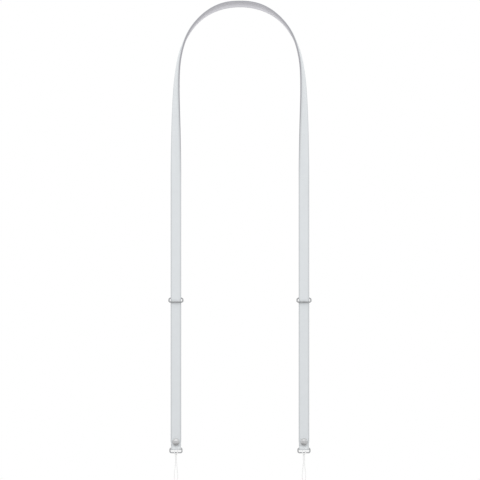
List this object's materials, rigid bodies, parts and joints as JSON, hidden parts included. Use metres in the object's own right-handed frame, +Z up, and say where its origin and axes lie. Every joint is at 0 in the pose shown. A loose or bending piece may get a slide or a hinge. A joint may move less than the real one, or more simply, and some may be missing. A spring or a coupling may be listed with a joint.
{
  "type": "phone crossbody strap",
  "caption": "Narrow knitted strap hanging in a tall arch, with wire sliders, studded round tips, small wire rings and thin cord loops that tie to a phone case.",
  "frame": {"origin": "middle of the band's inner face at the top of the arch, where it rests on the wearer", "axes": "+Z up, -Y the way the wearer faces, +X to the right as the viewer sees it from the front"},
  "size_m": [0.1606, 0.0618, 0.5394],
  "materials": {
    "knit": "fine knit, pale blue-grey",
    "steel": "polished",
    "cord": "thin braided cord, off-white"
  },
  "bodies": {
    "root": {"strap": "knit", "left_connector": "knit", "right_connector": "knit", "left_slider": "steel", "right_slider": "steel", "left_stud": "steel", "right_stud": "steel", "left_ring": "steel", "right_ring": "steel", "left_tether": "cord", "right_tether": "cord"}
  },
  "joints": []
}
